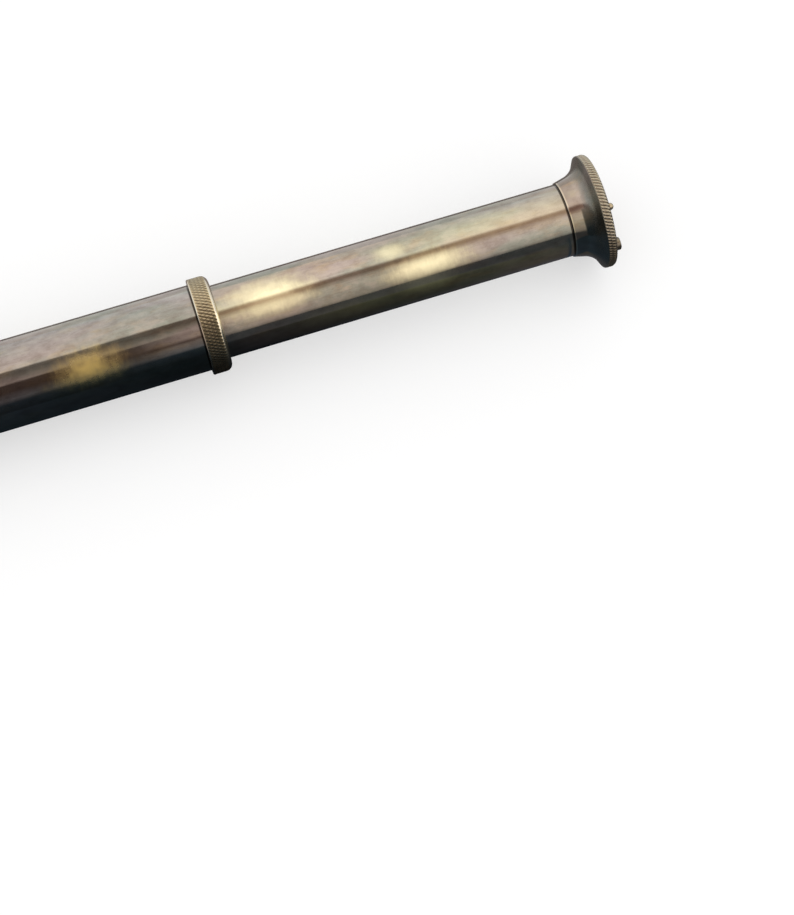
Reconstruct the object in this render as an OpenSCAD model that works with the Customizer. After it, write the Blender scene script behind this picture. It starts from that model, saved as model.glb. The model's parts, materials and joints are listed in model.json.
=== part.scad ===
// Draw telescope: a barrel, three brass draws that slide into it, an erecting
// lens pair, and a bell-mouthed eyepiece with a swivelling dust shutter.
// Millimetres. X is the optical axis, with the eye at +X and the objective at -X.
// The origin lies on the axis at the middle of the barrel tube. The draws are
// shown fully pulled out, with the cap on the objective and the shutter closed.

/* [Tubes] */
// Outside diameter of the thinnest draw, next to the eyepiece
draw_od = 22; // [18:0.5:30]
// Wall of the barrel and of every draw
tube_wall = 0.8; // [0.5:0.1:1.2]
// Radial room between a draw and the tube around it
step_gap = 1.2; // [1.1:0.1:2]
// Travel of the widest draw, next to the barrel
draw_1_travel = 104; // [80:1:140]
// Travel of the middle draw
draw_2_travel = 106; // [80:1:140]
// Travel of the thinnest draw
draw_3_travel = 106.8; // [80:0.2:140]

/* [Collars and stops] */
// Width of the knurled ring at the eye end of a tube
collar_w = 6.2; // [4:0.2:9]
// Height of the knurled ring above its tube
collar_rise = 1.5; // [0.8:0.1:2.5]
// Rounding of a knurled ring's outer edge on the objective side
collar_edge = 0.6; // [0.2:0.1:1.2]
// Rounding of its outer edge on the eye side, which is polished
collar_bevel = 1.1; // [0.4:0.1:1.4]
// Length of the spigot that holds a collar in its tube
spigot_len = 12; // [8:0.5:18]
// Wall of the slit spring bush that grips a draw
bush_wall = 0.5; // [0.3:0.05:0.6]
// Number of slits in a spring bush
bush_slits = 4; // [3:1:8]
// Width of a slit
slit_w = 0.6; // [0.3:0.1:1]
// Length of the uncut part of a spring bush
bush_root = 3; // [2:0.5:5]
// Length of the stop ring at the inner end of a draw
stop_len = 6; // [3:0.5:10]

/* [Objective] */
// Wall of the cell round the lenses
cell_wall = 2.48; // [2.2:0.02:3.4]
// Curvature radius of the objective's curved faces
lens_curve = 150; // [90:5:250]
// Edge thickness of the crown lens
crown_edge = 2.5; // [1.5:0.1:3]
// Edge thickness of the flint lens
flint_edge = 2.8; // [2.2:0.1:3.4]
// Thickness of the spacer ring between the two lenses
spacer_t = 0.3; // [0.1:0.1:0.6]
// Thickness of the ring that keeps the lenses in
keeper_t = 2; // [1.8:0.1:2.5]
// Width of the shoulder that the lenses rest on, and of the two rings
lens_lip = 1.2; // [0.8:0.1:2]
// Width of the knurled flange of the cell
flange_w = 4; // [3:0.2:6]
// Length of the plain nose that the cap slips over
nose_len = 10; // [9:0.5:14]
// Height of the nose above the barrel tube
nose_rise = 0.5; // [0.3:0.1:0.8]
// Length of the cell's spigot inside the barrel
cell_spigot = 6; // [4:0.5:10]
// Room between the cell and the pushed-in draws
end_room = 2; // [1:0.5:5]

/* [Cap] */
// Wall of the objective cap
cap_wall = 1; // [0.7:0.1:1.5]
// Thickness of the end of the cap
cap_end = 1.2; // [0.8:0.1:2]
// Part of the nose left bare by the cap
cap_short = 0.6; // [0.3:0.1:2]
// Rounding of the cap's outer edge
cap_round = 1; // [0.3:0.1:1]

/* [Erector] */
// Length of the erector tube in the inner end of the thinnest draw
erector_len = 34; // [24:1:50]
// Wall of the erector tube
erector_wall = 1.5; // [1:0.1:2]
// Radius of the hole in the erector's stop
erector_stop_r = 2; // [1:0.1:4]

/* [Eyepiece lenses] */
// Length of the eyepiece tube that holds the eye lens and the field lens
eyetube_len = 34; // [26:1:44]
// Wall of the eyepiece tube
eyetube_wall = 1; // [0.8:0.1:1.4]
// Radius of the hole in the field stop
field_stop_r = 4; // [2:0.1:6]
// Radius of the eye lens
eye_lens_r = 5; // [4:0.1:6]
// Thickness of the ring-shaped cell that holds the eye lens
eye_cell_t = 3.2; // [2.8:0.1:4]
// Edge thickness of the small lenses
small_edge = 1.2; // [0.8:0.1:1.6]
// Curvature radius of the small lenses
small_curve = 24; // [20:1:40]
// Thickness of the rings that keep the small lenses in
small_keeper_t = 2; // [1.6:0.1:3]
// Width of the inner ribs and of the rings that carry the small lenses
small_lip = 1; // [0.6:0.1:1.5]
// Thickness of the stops and of the inner ribs
stop_t = 1; // [0.6:0.1:1.5]

/* [Bell] */
// Length of the bell from the draw to its face
bell_len = 11.2; // [10.8:0.1:16]
// Outside diameter of the bell's knurled rim
rim_od = 34.5; // [32:0.5:40]
// Width of the knurled rim
rim_w = 2.5; // [2:0.1:3.2]
// Rounding of the rim's front edge
rim_round = 1.2; // [0.3:0.1:1.4]
// Height of the bell's neck above the draw
neck_rise = 0.4; // [0:0.05:0.6]
// Length of the neck before it starts to curve out
neck_len = 3.2; // [2:0.1:3.8]
// Slope of the neck, in degrees
neck_slope = 13; // [8:1:20]
// Steepest slope of the flare, in degrees
flare_slope = 65; // [50:1:70]
// Radius of the hollow curve of the flare
flare_round = 6.2; // [5:0.1:7]
// Radius of the rounded shoulder between the flare and the rim
shoulder_round = 1.1; // [0.5:0.1:1.6]
// Length of the bell's spigot inside the draw
bell_spigot = 8; // [5:0.5:12]
// Wall of that spigot
bell_spigot_wall = 1.1; // [0.8:0.1:1.3]
// How far the eyepiece tube reaches into the bell
bell_seat = 4; // [3:0.1:5]

/* [Eye plate and shutter] */
// Thickness of the eye plate
plate_t = 1.5; // [1:0.1:2]
// Width of the rim around the eye plate
rim_wall = 2; // [1.5:0.1:3]
// Width of the ledge that the eye plate rests on
plate_ledge = 1.3; // [0.8:0.1:2]
// Radius of the eye hole
eye_hole_r = 3.5; // [2.5:0.1:4.5]
// Depth of the bevel round the eye hole
eye_bevel = 0.8; // [0.4:0.1:0.9]
// Radius of the shutter's disc
shutter_r = 5.5; // [5.3:0.1:6]
// Thickness of the shutter
shutter_t = 0.8; // [0.5:0.1:1.2]
// Distance from the optical axis to the shutter's pivot
pivot_r = 11.5; // [11:0.1:12]
// Turn of the pivot about the axis, in degrees from +Y towards +Z
pivot_turn = 188; // [0:1:359]
// Radius of the shutter round its pivot
pivot_eye_r = 2.6; // [2.4:0.1:3]
// Radius of the pivot screw's shank
pivot_shank_r = 0.8; // [0.6:0.1:1]
// Radius of the pivot screw's head
pivot_head_r = 2; // [1.6:0.1:2.3]
// Height of the pivot screw's head
pivot_head_h = 2; // [1.2:0.1:2.4]
// Width of the screw's slot
screw_slot_w = 0.5; // [0.3:0.1:0.7]
// Radius of the shutter's knob
knob_r = 1.7; // [1.3:0.1:2.2]
// Height of the knob above the shutter
knob_h = 3.6; // [3:0.1:4.5]
// Radius of the knob's stem
knob_stem_r = 0.8; // [0.6:0.1:1]

/* [Clearances] */
// Radial clearance where a piece slides or turns
run_gap = 0.05; // [0.03:0.01:0.09]
// Radial clearance where a piece is screwed or pushed in for good
seat_gap = 0.02; // [0.01:0.01:0.04]
// Space left between a draw's stop ring and the spigot that stops it
stop_gap = 0.1; // [0.05:0.05:0.3]

/* [Hidden] */
$fn = 96;

patina = [0.50, 0.41, 0.33];
knurled = [0.58, 0.49, 0.29];
bright = [0.78, 0.62, 0.32];
blackened = [0.12, 0.11, 0.10];
glass = [0.75, 0.88, 0.90, 0.45];

// How far a cut runs past the solid that it cuts
past = 1;
// Number of steps in a quarter turn of a rounded outline
arc_steps = 8;

// The tubes are numbered from the barrel, 0, to the thinnest draw
travel = [0, draw_1_travel, draw_2_travel, draw_3_travel];
last = len(travel) - 1;
function tube_r(i) = draw_od / 2 + (last - i) * (step_gap + tube_wall);
function bore_r(i) = tube_r(i) - tube_wall;

// Length of a draw that stays inside the tube around it when it is pulled out
hidden_len = collar_w + spigot_len + stop_len + stop_gap;

// How deep the inner end of draw i lies behind the barrel's eye end, all pushed in
function depth_in(i) = hidden_len + travel[i] - i * collar_w;
barrel_len = max([for (i = [1 : last]) depth_in(i)]) + cell_spigot + end_room;
barrel_front = -barrel_len / 2;

// Eye end of tube i, outer face of its collar, and objective end of draw i
function eye_end(i) = i == 0 ? barrel_len / 2 : collar_face(i - 1) + travel[i];
function collar_face(i) = eye_end(i) + collar_w;
function inner_end(i) = collar_face(i - 1) - hidden_len;

// The objective cell and the lenses in it
cell_face = barrel_front - flange_w - nose_len;
nose_r = tube_r(0) + nose_rise;
flange_r = tube_r(0) + collar_rise;
lens_r = nose_r - cell_wall - seat_gap;
lip_r = lens_r - lens_lip;
lip_rise = dome_rise(lens_curve, lens_r, lip_r);
spacer_x = barrel_front - flint_edge - seat_gap;
crown_x = spacer_x - spacer_t - seat_gap;
keeper_x = crown_x - crown_edge - lip_rise;

// The lens tubes inside the thinnest draw
erector_r = bore_r(last) - seat_gap;
erector_bore = erector_r - erector_wall;
erector_x = inner_end(last);
eyetube_r = bore_r(last) - 2 * seat_gap - bell_spigot_wall;
eyetube_bore = eyetube_r - eyetube_wall;
eyetube_end = eye_end(last) + bell_seat;
eyetube_x = eyetube_end - eyetube_len;

// Distance from the end of a lens tube to the flat face of a lens of radius r
function small_seat(r) =
    small_keeper_t + small_edge + dome_rise(small_curve, r, r - small_lip);
erector_lens_r = erector_bore - seat_gap;
erector_seat = small_seat(erector_lens_r);
field_lens_r = eyetube_bore - seat_gap;
field_seat = small_seat(field_lens_r);

// The bell, the eye plate in its face and the shutter on the plate
bell_x = eye_end(last);
bell_face = bell_x + bell_len;
neck_r = tube_r(last) + neck_rise;
rim_r = rim_od / 2;
plate_r = rim_r - rim_wall;
shutter_x = bell_face + run_gap;
shutter_face = shutter_x + shutter_t;
pivot_y = pivot_r * cos(pivot_turn);
pivot_z = pivot_r * sin(pivot_turn);

// How far a dome of radius curve and edge radius r has risen at the smaller radius inner
function dome_rise(curve, r, inner) =
    sqrt(pow(curve, 2) - pow(inner, 2)) - sqrt(pow(curve, 2) - pow(r, 2));

// Turns a shape that stands along Z so that it lies along X from the given place
module along_x(x) translate([x, 0, 0]) rotate([0, 90, 0]) children();

// A plain ring along X
module ring(x, len, outer, inner) {
    along_x(x) difference() {
        cylinder(h = len, r = outer);
        translate([0, 0, -past]) cylinder(h = len + 2 * past, r = inner);
    }
}

// Points of an arc, from one angle to another
function arc(centre, r, from, to) =
    [for (k = [0 : arc_steps]) let (a = from + (to - from) * k / arc_steps)
        centre + r * [cos(a), sin(a)]];

// Outline of a ring with rounded outer edges, near and far: [radius, place] points
function rounded_band(inner, outer, w, near, far) = concat(
    [[inner, 0]],
    arc([outer - near, near], near, -90, 0),
    arc([outer - far, w - far], far, 0, 90),
    [[inner, w]]);

module collar(i) {
    bore = tube_r(i + 1) + run_gap;
    near = min(collar_edge, collar_rise);
    far = min(collar_bevel, collar_rise);
    color(knurled) union() {
        along_x(eye_end(i)) rotate_extrude()
            polygon(rounded_band(bore, tube_r(i) + collar_rise, collar_w, near, far));
        ring(eye_end(i) - spigot_len, spigot_len, bore_r(i) - seat_gap,
             bore + bush_wall + seat_gap);
    }
}

module spring_bush(i) {
    grip = tube_r(i + 1) + run_gap;
    cut = spigot_len - bush_root;
    color(bright) difference() {
        ring(eye_end(i) - spigot_len, spigot_len, grip + bush_wall, grip);
        for (k = [0 : bush_slits - 1])
            rotate([360 * k / bush_slits, 0, 0])
                translate([eye_end(i) - spigot_len - past, -slit_w / 2, 0])
                    cube([cut + past, slit_w, grip + bush_wall + past]);
    }
}

module draw_tube(i) {
    color(patina) ring(inner_end(i), eye_end(i) - inner_end(i), tube_r(i), bore_r(i));
}

module stop_ring(i) {
    color(bright) ring(inner_end(i), stop_len, bore_r(i - 1) - run_gap, tube_r(i) + seat_gap);
}

module barrel_tube() {
    color(patina) ring(barrel_front, barrel_len, tube_r(0), bore_r(0));
}

// The flange is a knurled ring, the nose takes the cap, and the spigot fits the barrel
module objective_cell() {
    edge = min(collar_edge, collar_rise - nose_rise, flange_w / 2);
    color(knurled) difference() {
        union() {
            along_x(barrel_front - flange_w) rotate_extrude()
                polygon(rounded_band(lip_r, flange_r, flange_w, edge, edge));
            ring(cell_face, nose_len, nose_r, lip_r);
            ring(barrel_front, cell_spigot, bore_r(0) - seat_gap, lip_r);
        }
        along_x(cell_face - past)
            cylinder(h = barrel_front - cell_face + past, r = lens_r + seat_gap);
    }
}

// Points of a domed or hollow lens face, from the axis to the edge, whose edge lies at x;
// bulge is 1 where the middle stands towards the eye, and -1 where it stands away from it
function curved_face(x, bulge) =
    [for (k = [0 : arc_steps]) let (r = lens_r * k / arc_steps)
        [r, x + bulge * dome_rise(lens_curve, lens_r, r)]];
function from_edge(points) = [for (k = [len(points) - 1 : -1 : 0]) points[k]];

module crown_lens() {
    color(glass) along_x(crown_x) rotate_extrude()
        polygon(concat(curved_face(-crown_edge, -1), from_edge(curved_face(0, 1))));
}

module flint_lens() {
    color(glass) along_x(barrel_front) rotate_extrude()
        polygon(concat(curved_face(-flint_edge, 1), [[lens_r, 0], [0, 0]]));
}

// A thin washer that follows the curve of the two faces it lies between
module lens_spacer_ring() {
    color(blackened) along_x(spacer_x) rotate_extrude()
        polygon([[lip_r, lip_rise], [lens_r, 0], [lens_r, -spacer_t],
                 [lip_r, lip_rise - spacer_t]]);
}

module objective_retaining_ring() {
    slot = 2 * lens_lip;
    color(blackened) difference() {
        ring(keeper_x - keeper_t, keeper_t, lens_r, lip_r);
        for (side = [-1, 1])
            translate([keeper_x - keeper_t - past, side * lens_r - slot / 2, -slot / 4])
                cube([keeper_t / 2 + past, slot, slot / 2]);
    }
}

module objective_cap() {
    inner = nose_r + run_gap;
    outer = inner + cap_wall;
    end_x = cell_face - seat_gap - cap_end;
    skirt = cap_end + seat_gap + nose_len - cap_short;
    edge = min(cap_round, cap_wall, cap_end);
    color(patina) along_x(end_x) rotate_extrude()
        polygon(concat(
            [[0, 0]],
            arc([outer - edge, edge], edge, -90, 0),
            [[outer, skirt], [inner, skirt], [inner, cap_end], [0, cap_end]]));
}

// A lens tube with an inner rib near each end, for the lenses to rest on
module lens_tube(x, len, outer, bore, near_rib, far_rib) {
    color(blackened) union() {
        ring(x, len, outer, bore);
        for (place = [near_rib, far_rib])
            ring(x + place, stop_t, (outer + bore) / 2, bore - small_lip);
    }
}

// A lens with one flat face at x; its domed side looks towards side, 1 or -1
module small_lens(x, r, side) {
    color(glass) translate([x, 0, 0]) rotate([0, 90 * side, 0]) intersection() {
        cylinder(h = small_curve, r = r);
        translate([0, 0, small_edge - sqrt(pow(small_curve, 2) - pow(r, 2))])
            sphere(r = small_curve);
    }
}

// A thin disc with a hole, across a lens tube
module stop_disc(x, bore, hole) {
    color(blackened) ring(x, stop_t, bore - seat_gap, hole);
}

module erector_tube() {
    lens_tube(erector_x, erector_len, erector_r, erector_bore,
              erector_seat, erector_len - erector_seat - stop_t);
}

module erector_front_lens() {
    small_lens(erector_x + erector_seat, erector_lens_r, -1);
}

module erector_rear_lens() {
    small_lens(erector_x + erector_len - erector_seat, erector_lens_r, 1);
}

module erector_stop() {
    stop_disc(erector_x + (erector_len - stop_t) / 2, erector_bore, erector_stop_r);
}

module erector_retaining_rings() {
    for (x = [erector_x, erector_x + erector_len - small_keeper_t])
        color(bright) ring(x, small_keeper_t, erector_lens_r, erector_lens_r - small_lip);
}

module eyepiece_tube() {
    lens_tube(eyetube_x, eyetube_len, eyetube_r, eyetube_bore,
              field_seat, eyetube_len - eye_cell_t - stop_t);
}

module field_lens() {
    small_lens(eyetube_x + field_seat, field_lens_r, -1);
}

module field_lens_ring() {
    color(bright) ring(eyetube_x, small_keeper_t, field_lens_r, field_lens_r - small_lip);
}

module field_stop() {
    stop_disc(eyetube_x + (eyetube_len - stop_t) / 2, eyetube_bore, field_stop_r);
}

// The eye lens lies in its cell with its flat face towards the eye
module eye_lens() {
    small_lens(eyetube_end - stop_t, eye_lens_r, -1);
}

module eye_lens_cell() {
    color(blackened) union() {
        ring(eyetube_end - eye_cell_t, eye_cell_t, eyetube_bore - seat_gap,
             eye_lens_r + seat_gap);
        ring(eyetube_end - stop_t, stop_t, eye_lens_r + 2 * seat_gap, eye_lens_r - small_lip);
    }
}

// Outline of the bell, from the inner end of its spigot to its face
function bell_outline() =
    let (bore = eyetube_r + seat_gap,
         neck_end = [neck_r + neck_len * tan(neck_slope), neck_len],
         curve = neck_end + flare_round * [cos(neck_slope), -sin(neck_slope)],
         shoulder = [rim_r - shoulder_round, bell_len - rim_w],
         edge = min(rim_round, rim_w / 2),
         ledge_r = plate_r - plate_ledge,
         plate_x = bell_len - plate_t)
    concat(
        [[bore, -bell_spigot], [bore_r(last) - seat_gap, -bell_spigot],
         [bore_r(last) - seat_gap, 0], [neck_r, 0]],
        arc(curve, flare_round, 180 - neck_slope, 180 - flare_slope),
        arc(shoulder, shoulder_round, flare_slope - 90, 0),
        arc([rim_r - edge, bell_len - edge], edge, 0, 90),
        [[plate_r + seat_gap, bell_len], [plate_r + seat_gap, plate_x], [ledge_r, plate_x],
         [ledge_r, plate_x - plate_ledge], [bore, bell_seat]]);

module eyepiece_bell() {
    color(patina) along_x(bell_x) rotate_extrude() polygon(bell_outline());
}

// Moves a shape to the shutter's pivot, with its own -Y side turned away from the axis
module at_pivot(x) {
    translate([x, pivot_y, pivot_z]) rotate([pivot_turn, 0, 0]) children();
}

module eye_plate() {
    color(patina) difference() {
        along_x(bell_face - plate_t) cylinder(h = plate_t, r = plate_r);
        along_x(bell_face - plate_t - past) cylinder(h = plate_t + 2 * past, r = eye_hole_r);
        along_x(bell_face - eye_bevel)
            cylinder(h = 2 * eye_bevel, r1 = eye_hole_r, r2 = eye_hole_r + 2 * eye_bevel);
        at_pivot(0) along_x(bell_face - plate_t - past)
            cylinder(h = plate_t + 2 * past, r = pivot_shank_r + seat_gap);
    }
}

// Flat outline of the shutter: a disc at the centre, an arm, and a round eye at the pivot
module shutter_outline() {
    lean = asin((shutter_r - pivot_eye_r) / pivot_r);
    difference() {
        union() {
            circle(r = shutter_r);
            translate([0, pivot_r]) circle(r = pivot_eye_r);
            polygon([[shutter_r * cos(lean), shutter_r * sin(lean)],
                     [pivot_eye_r * cos(lean), pivot_r + pivot_eye_r * sin(lean)],
                     [-pivot_eye_r * cos(lean), pivot_r + pivot_eye_r * sin(lean)],
                     [-shutter_r * cos(lean), shutter_r * sin(lean)]]);
        }
        circle(r = knob_stem_r + seat_gap);
        translate([0, pivot_r]) circle(r = pivot_shank_r + run_gap);
    }
}

module eye_shutter() {
    color(patina) rotate([pivot_turn, 0, 0]) along_x(shutter_x)
        linear_extrude(height = shutter_t) shutter_outline();
}

// A turned knob: a stem riveted in the shutter, a waist, and a rounded head
module shutter_knob() {
    waist_h = knob_h - 2 * knob_r * cos(45);
    head = [0, knob_h - knob_r];
    color(bright) along_x(shutter_face) rotate_extrude()
        polygon(concat(
            [[0, -shutter_t], [knob_stem_r, -shutter_t], [knob_stem_r, 0],
             [knob_r, 0], [knob_r, waist_h / 4], [knob_stem_r, waist_h / 2]],
            arc(head, knob_r, -45, 90)));
}

module shutter_pivot_screw() {
    shank = plate_t + shutter_t + 2 * run_gap;
    edge = pivot_head_h / 2;
    color(bright) at_pivot(shutter_face + run_gap) difference() {
        union() {
            along_x(-shank) cylinder(h = shank, r = pivot_shank_r);
            along_x(0) rotate_extrude()
                polygon(concat(
                    [[0, 0], [pivot_head_r, 0]],
                    arc([pivot_head_r - edge, pivot_head_h - edge], edge, 0, 90),
                    [[0, pivot_head_h]]));
        }
        translate([pivot_head_h * 0.6, -pivot_head_r - past, -screw_slot_w / 2])
            cube([pivot_head_h, 2 * (pivot_head_r + past), screw_slot_w]);
    }
}

barrel_tube();
collar(0);  // barrel_collar
spring_bush(0);  // barrel_spring_bush
objective_cell();
crown_lens();
flint_lens();
lens_spacer_ring();
objective_retaining_ring();
objective_cap();
draw_tube(1);  // draw_1_tube
collar(1);  // draw_1_collar
spring_bush(1);  // draw_1_spring_bush
stop_ring(1);  // draw_1_stop_ring
draw_tube(2);  // draw_2_tube
collar(2);  // draw_2_collar
spring_bush(2);  // draw_2_spring_bush
stop_ring(2);  // draw_2_stop_ring
draw_tube(last);  // draw_3_tube
stop_ring(last);  // draw_3_stop_ring
erector_tube();
erector_front_lens();
erector_rear_lens();
erector_stop();
erector_retaining_rings();
eyepiece_bell();
eyepiece_tube();
field_lens();
field_lens_ring();
field_stop();
eye_lens();
eye_lens_cell();
eye_plate();
eye_shutter();
shutter_knob();
shutter_pivot_screw();
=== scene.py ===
# %% [markdown]
# # A draw telescope in patinated brass
#
# A draw telescope is a nest of thin brass tubes. Each tube slides in the one before it, and a knurled
# ring at its mouth gives the fingers a grip. Everything that shows is turned metal, so this scene is
# mostly about two things: outlines that are spun round one axis, and the way polished brass mirrors
# what stands round it.
#
# The solid model is loaded first and stays as it is. It is in metres, with X along the telescope, the
# objective at -X and the eye at +X. New pieces are built over its nodes and ride on its bodies.

# %% Load the model and remember its box
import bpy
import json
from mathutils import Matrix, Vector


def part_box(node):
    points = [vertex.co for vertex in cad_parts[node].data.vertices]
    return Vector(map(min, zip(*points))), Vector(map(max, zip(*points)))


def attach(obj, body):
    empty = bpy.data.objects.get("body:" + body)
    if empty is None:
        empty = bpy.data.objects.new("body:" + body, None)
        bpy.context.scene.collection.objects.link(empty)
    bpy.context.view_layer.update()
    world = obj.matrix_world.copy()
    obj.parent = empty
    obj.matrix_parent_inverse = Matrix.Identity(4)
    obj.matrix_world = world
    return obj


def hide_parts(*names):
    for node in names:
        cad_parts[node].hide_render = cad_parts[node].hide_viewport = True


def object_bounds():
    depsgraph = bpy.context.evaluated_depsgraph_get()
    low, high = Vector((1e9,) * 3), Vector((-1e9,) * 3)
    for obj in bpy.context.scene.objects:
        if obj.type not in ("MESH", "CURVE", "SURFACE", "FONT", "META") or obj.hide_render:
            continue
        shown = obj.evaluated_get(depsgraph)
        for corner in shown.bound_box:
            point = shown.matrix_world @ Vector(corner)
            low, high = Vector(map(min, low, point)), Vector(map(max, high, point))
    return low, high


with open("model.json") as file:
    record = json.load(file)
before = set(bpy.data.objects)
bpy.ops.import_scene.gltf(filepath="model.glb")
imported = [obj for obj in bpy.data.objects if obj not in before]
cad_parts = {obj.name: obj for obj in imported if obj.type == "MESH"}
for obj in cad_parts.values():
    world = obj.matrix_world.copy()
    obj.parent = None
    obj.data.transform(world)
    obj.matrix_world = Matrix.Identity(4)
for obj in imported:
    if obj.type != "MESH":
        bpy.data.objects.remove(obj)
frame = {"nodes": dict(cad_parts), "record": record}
cad_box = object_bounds()

# %% Tools and two ways to ask the model for a size
import json
import math

import bmesh
import bpy
import numpy as np
from mathutils import Vector

MM = 0.001


def reach(node):
    """Lowest and highest place of a node along X, in millimetres."""
    low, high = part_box(node)
    return low.x / MM, high.x / MM


def outside(node):
    """Outer radius of a round node, in millimetres."""
    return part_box(node)[1].z / MM


print("nodes", len(frame["nodes"]), "length", round((cad_box[1].x - cad_box[0].x) / MM, 1), "mm")

# %% [markdown]
# ## Camera
#
# The picture is taken from above, with a lens about two and a half times as long as the picture's
# taller side. The telescope lies across the frame and leaves it at the left. The camera needs a place
# and three directions: `back` points from the object to the lens, `right` is level, and `up` follows
# from the two. Building the matrix from the directions avoids guessing at rotation angles.

# %% Place the camera
PICTURE_HEIGHT = 915
FOCAL_PIXELS = 2320
SENSOR = 36
AZIMUTH = math.radians(-17.594)
ELEVATION = math.radians(72.9)
CAMERA_PLACE = Vector((271.15, -243.36, 640.39)) * MM

back = Vector((math.sin(AZIMUTH) * math.cos(ELEVATION),
               -math.cos(AZIMUTH) * math.cos(ELEVATION), math.sin(ELEVATION)))
right = Vector((math.cos(AZIMUTH), math.sin(AZIMUTH), 0))
up = back.cross(right)

camera = bpy.data.objects.new("camera", bpy.data.cameras.new("camera"))
bpy.context.scene.collection.objects.link(camera)
camera.data.sensor_fit = "VERTICAL"
camera.data.sensor_height = SENSOR
camera.data.lens = FOCAL_PIXELS * SENSOR / PICTURE_HEIGHT
camera.data.clip_start, camera.data.clip_end = 0.01, 20
for column, direction in enumerate((right, up, back)):
    for row in range(3):
        camera.matrix_world[row][column] = direction[row]
camera.matrix_world.translation = CAMERA_PLACE
bpy.context.scene.camera = camera
bpy.context.scene.view_settings.view_transform = "Standard"
print("lens", round(camera.data.lens, 1), "mm")

# %% [markdown]
# ## Shader maths as plain Python
#
# A procedural finish is arithmetic on patterns. Wired by hand it is a tangle, so a small class wraps
# an output socket and lets `+`, `-`, `*` and `/` add the Math nodes. The reflected forms make
# `1 - mask` work as well. Everything that isn't plain arithmetic goes through one method, `node`,
# which sets a node's options first and then fills or links its inputs.

# %% A socket that can be calculated with
class Signal:
    """An output socket with the operators of a number."""

    def __init__(self, finish, socket):
        self.finish, self.socket = finish, socket

    def maths(self, operation, *others):
        """Any other operation of the Math node, with this signal as its first value."""
        return self.finish.node("ShaderNodeMath", {"operation": operation}, dict(enumerate((self, *others))))

    def __add__(self, other):
        return self.maths("ADD", other)

    def __sub__(self, other):
        return self.maths("SUBTRACT", other)

    def __rsub__(self, other):
        return self.finish.node("ShaderNodeMath", {"operation": "SUBTRACT"}, {0: other, 1: self})

    def __mul__(self, other):
        return self.maths("MULTIPLY", other)

    def __truediv__(self, other):
        return self.maths("DIVIDE", other)

    __radd__, __rmul__ = __add__, __mul__


# %% A finish: one material and its nodes
class Finish:
    """A material under construction."""

    def __init__(self, name):
        self.material = bpy.data.materials.new(name)
        self.material.use_nodes = True
        self.tree = self.material.node_tree
        self.shader = self.tree.nodes["Principled BSDF"]

    def node(self, kind, settings=None, values=None, output=0):
        """Adds a node, sets its options and then its sockets, and gives one of its outputs."""
        made = self.tree.nodes.new(kind)
        for key, value in (settings or {}).items():
            if key == "stops":
                self.set_stops(made.color_ramp, value)
            else:
                setattr(made, key, value)
        self.fill(made, values or {})
        return Signal(self, made.outputs[output])

    def set_stops(self, ramp, stops):
        """Fills a colour ramp from a list of (place, colour)."""
        while len(ramp.elements) < len(stops):
            ramp.elements.new(0.5)
        for element, (place, colour) in zip(ramp.elements, stops):
            element.position, element.color = place, (*colour, 1)

    def fill(self, made, values):
        """Links the signals among values to the node's sockets and writes the others onto them."""
        for key, value in values.items():
            if isinstance(value, Signal):
                self.tree.links.new(value.socket, made.inputs[key])
            elif isinstance(value, tuple) and len(value) == 3 and made.inputs[key].type == "RGBA":
                made.inputs[key].default_value = (*value, 1)
            else:
                made.inputs[key].default_value = value

    def mix(self, mask, first, second):
        """first where mask is 0 and second where it is 1, both colours."""
        return self.node("ShaderNodeMix", {"data_type": "RGBA"}, {0: mask, 6: first, 7: second}, output=2)

    def smooth(self, value, low, high, start=0.0, end=1.0):
        """Eases from start to end while value runs from low to high."""
        return self.node("ShaderNodeMapRange", {"interpolation_type": "SMOOTHSTEP"},
                         {"Value": value, "From Min": low, "From Max": high, "To Min": start, "To Max": end})

    def place(self, stretch=(1.0, 1.0, 1.0)):
        """The object's own coordinates in millimetres, each multiplied by its stretch."""
        here = self.node("ShaderNodeTexCoord", output="Object")
        scale = tuple(s / MM for s in stretch)
        return self.node("ShaderNodeVectorMath", {"operation": "MULTIPLY"}, {0: here, 1: scale})

    def noise(self, stretch, scale, detail=3.0, roughness=0.5, offset=(0.0, 0.0, 0.0)):
        """Smooth noise from 0 to 1, with scale cells to the millimetre before the stretch."""
        moved = self.node("ShaderNodeVectorMath", {"operation": "ADD"}, {0: self.place(stretch), 1: offset})
        return self.node("ShaderNodeTexNoise", {},
                         {"Vector": moved, "Scale": scale, "Detail": detail, "Roughness": roughness})

    def along(self, axis="X"):
        """One coordinate of the surface, in millimetres."""
        return self.node("ShaderNodeSeparateXYZ", {}, {0: self.place()}, output="XYZ".index(axis))

    def near(self, centre, size):
        """Distance from centre, measured in its own size along each axis."""
        away = self.node("ShaderNodeVectorMath", {"operation": "SUBTRACT"}, {0: self.place(), 1: centre})
        away = self.node("ShaderNodeVectorMath", {"operation": "DIVIDE"}, {0: away, 1: size})
        return self.node("ShaderNodeVectorMath", {"operation": "LENGTH"}, {0: away}, output=1)

    def bump(self, height, depth, normal=None):
        """A surface that rises and falls by depth millimetres where height runs from 0 to 1."""
        values = {"Height": height, "Distance": depth * MM, "Strength": 1.0}
        if normal is not None:
            values["Normal"] = normal
        return self.node("ShaderNodeBump", {}, values)

    def surface(self, **values):
        """Fills the Principled shader; underscores stand for the spaces in its socket names."""
        self.fill(self.shader, {key.replace("_", " "): value for key, value in values.items()})
        return self.material


print("shader helpers ready")

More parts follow.
